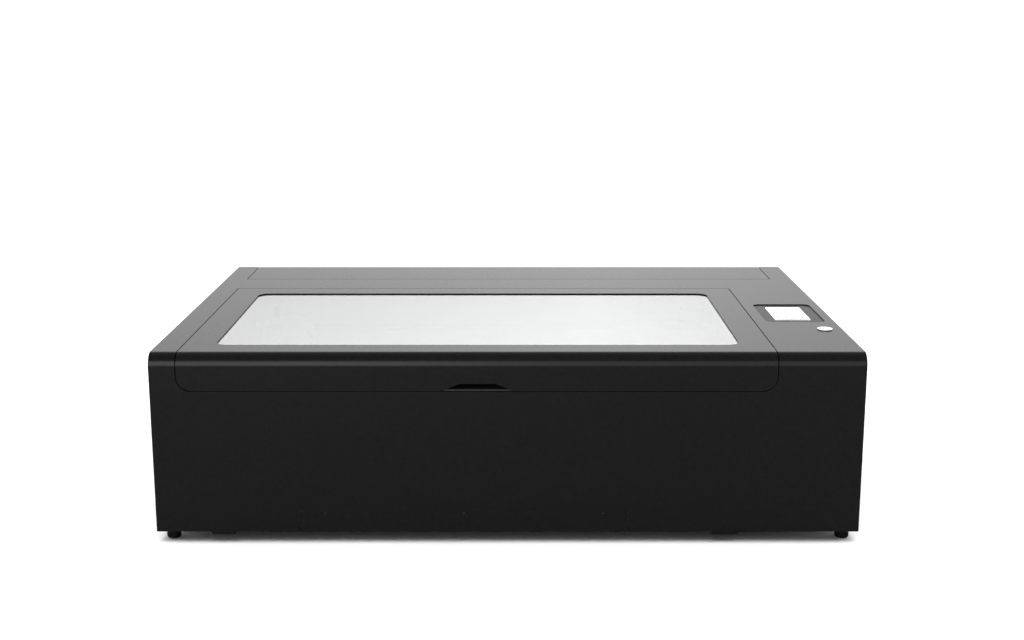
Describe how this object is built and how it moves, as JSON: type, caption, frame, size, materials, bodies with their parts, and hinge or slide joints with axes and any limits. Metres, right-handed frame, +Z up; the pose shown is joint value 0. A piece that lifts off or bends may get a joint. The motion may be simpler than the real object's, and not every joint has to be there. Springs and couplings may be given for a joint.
{
  "type": "desktop laser cutter",
  "caption": "Low black steel desktop laser cutter with a hinged window lid, gantry-driven head, tube cover, recessed touch screen, start button and rear exhaust spigot.",
  "frame": {"origin": "on the surface it stands on, at the centre of the overall box in plan", "axes": "+X to the user's right, -Y towards the user, +Z up"},
  "size_m": [1.1, 0.7954, 0.3109],
  "materials": {
    "powder_coat": "black powder coat, satin",
    "base_steel": "black powder coat, satin",
    "zinc_steel": "zinc-plated sheet, satin",
    "foot_rubber": "moulded rubber, matte",
    "gasket_rubber": "rubber, matte",
    "screw_steel": "steel, satin",
    "window_acrylic": "clear acrylic, polished",
    "cup_plastic": "black ABS, fine texture",
    "display_glass": "glossy display glass",
    "button_plastic": "white acrylic, gloss",
    "black_oxide": "black-oxide steel, satin",
    "bed_aluminium": "bare aluminium",
    "beam_aluminium": "anodised aluminium, satin",
    "motor_black": "black enamel",
    "tube_glass": "clear borosilicate glass",
    "supply_case": "mill-finish sheet",
    "board_green": "solder mask",
    "socket_black": "black nylon"
  },
  "bodies": {
    "cabinet": {"access_panel": "powder_coat", "base_pan": "base_steel", "button_ring": "black_oxide", "chamber_left_wall": "zinc_steel", "chamber_rear_wall": "zinc_steel", "chamber_right_wall": "zinc_steel", "control_board": "board_green", "cover_hinge_brackets": "zinc_steel", "crumb_tray": "zinc_steel", "data_ports": "socket_black", "exhaust_blower": "cup_plastic", "first_mirror": "beam_aluminium", "front_left_foot": "foot_rubber", "front_right_foot": "foot_rubber", "hinge_pins": "screw_steel", "laser_tube": "tube_glass", "left_base_rail": "base_steel", "left_guide_rail": "screw_steel", "left_side_panel": "powder_coat", "lid_hinge_brackets": "zinc_steel", "outer_shell": "powder_coat", "panel_screws": "black_oxide", "power_inlet": "socket_black", "power_supply": "supply_case", "rear_left_foot": "foot_rubber", "rear_panel": "powder_coat", "rear_right_foot": "foot_rubber", "right_base_rail": "base_steel", "right_guide_rail": "screw_steel", "right_side_panel": "powder_coat", "screen_pocket": "cup_plastic", "switch_housing": "socket_black", "touch_screen": "display_glass", "tube_cradles": "zinc_steel", "work_bed": "bed_aluminium", "y_belts": "gasket_rubber", "y_motor": "motor_black"},
    "lid": {"lid_shell": "powder_coat", "lid_frame": "zinc_steel", "lid_window": "window_acrylic", "window_gasket": "gasket_rubber", "finger_cup": "cup_plastic", "lid_hinge_arms": "zinc_steel"},
    "tube_cover": {"rear_cover": "powder_coat"},
    "strut_cylinders": {"strut_tubes": "motor_black"},
    "strut_pistons": {"strut_rods": "screw_steel"},
    "gantry": {"gantry_beam": "beam_aluminium", "left_carriage": "beam_aluminium", "right_carriage": "beam_aluminium", "second_mirror": "beam_aluminium", "x_belt": "gasket_rubber", "x_motor": "motor_black"},
    "head": {"laser_head": "beam_aluminium"},
    "lens": {"lens_tube": "beam_aluminium"},
    "focus_wheel": {"focus_knob": "beam_aluminium"},
    "belt_pulley": {"x_pulley": "beam_aluminium"},
    "cross_shaft": {"drive_shaft": "screw_steel"},
    "fan_wheel": {"blower_wheel": "cup_plastic"},
    "button": {"start_button": "button_plastic"},
    "rocker": {"rocker_switch": "socket_black"}
  },
  "joints": [
    {"name": "lid_hinge", "type": "hinge", "parent": "cabinet", "child": "lid", "pos_m": [-0.04715, 0.1473, 0.302], "axis": [-1, 0, 0], "range_deg": [0, 60]},
    {"name": "strut_swing", "type": "hinge", "parent": "cabinet", "child": "strut_cylinders", "pos_m": [-0.04715, 0.1125, 0.14], "axis": [-1, 0, 0], "range_deg": [-0.5, 12.5]},
    {"name": "strut_stroke", "type": "slide", "parent": "strut_cylinders", "child": "strut_pistons", "axis": [0, -0.2545, 0.9671], "range_m": [-0.001, 0.066]},
    {"name": "tube_cover_hinge", "type": "hinge", "parent": "cabinet", "child": "tube_cover", "pos_m": [0, 0.3425, 0.302], "axis": [-1, 0, 0], "range_deg": [0, 95]},
    {"name": "gantry_travel", "type": "slide", "parent": "cabinet", "child": "gantry", "axis": [0, -1, 0], "range_m": [0, 0.375]},
    {"name": "head_travel", "type": "slide", "parent": "gantry", "child": "head", "axis": [1, 0, 0], "range_m": [0, 0.66]},
    {"name": "lens_focus", "type": "slide", "parent": "head", "child": "lens", "axis": [0, 0, 1], "range_m": [0, 0.012]},
    {"name": "focus_turn", "type": "hinge", "parent": "head", "child": "focus_wheel", "pos_m": [-0.362, 0.0325, 0.22], "axis": [1, 0, 0], "range_deg": [-1, 116]},
    {"name": "belt_pulley_turn", "type": "hinge", "parent": "gantry", "child": "belt_pulley", "pos_m": [0.34085, 0.0875, 0.2395], "axis": [0, 0, 1], "continuous": true},
    {"name": "cross_shaft_turn", "type": "hinge", "parent": "cabinet", "child": "cross_shaft", "pos_m": [-0.04715, 0.1375, 0.185], "axis": [1, 0, 0], "continuous": true},
    {"name": "fan_turn", "type": "hinge", "parent": "cabinet", "child": "fan_wheel", "pos_m": [0, 0.2725, 0.1], "axis": [0, 1, 0], "continuous": true},
    {"name": "button_press", "type": "slide", "parent": "cabinet", "child": "button", "axis": [0, 0, -1], "range_m": [0, 0.0008], "stiffness_N_per_m": 300, "springref_m": -0.0015},
    {"name": "rocker_tilt", "type": "hinge", "parent": "cabinet", "child": "rocker", "pos_m": [0.38, 0.3485, 0.08], "axis": [1, 0, 0], "range_deg": [0, 14]}
  ],
  "couplings": [
    {"joint": "strut_swing", "follows": "lid_hinge", "ratio": 0.19728},
    {"joint": "strut_stroke", "follows": "lid_hinge", "m_per_rad": 0.061965},
    {"joint": "focus_turn", "follows": "lens_focus", "rad_per_m": 166.67},
    {"joint": "belt_pulley_turn", "follows": "head_travel", "rad_per_m": 148.15},
    {"joint": "cross_shaft_turn", "follows": "gantry_travel", "rad_per_m": 114.29}
  ]
}
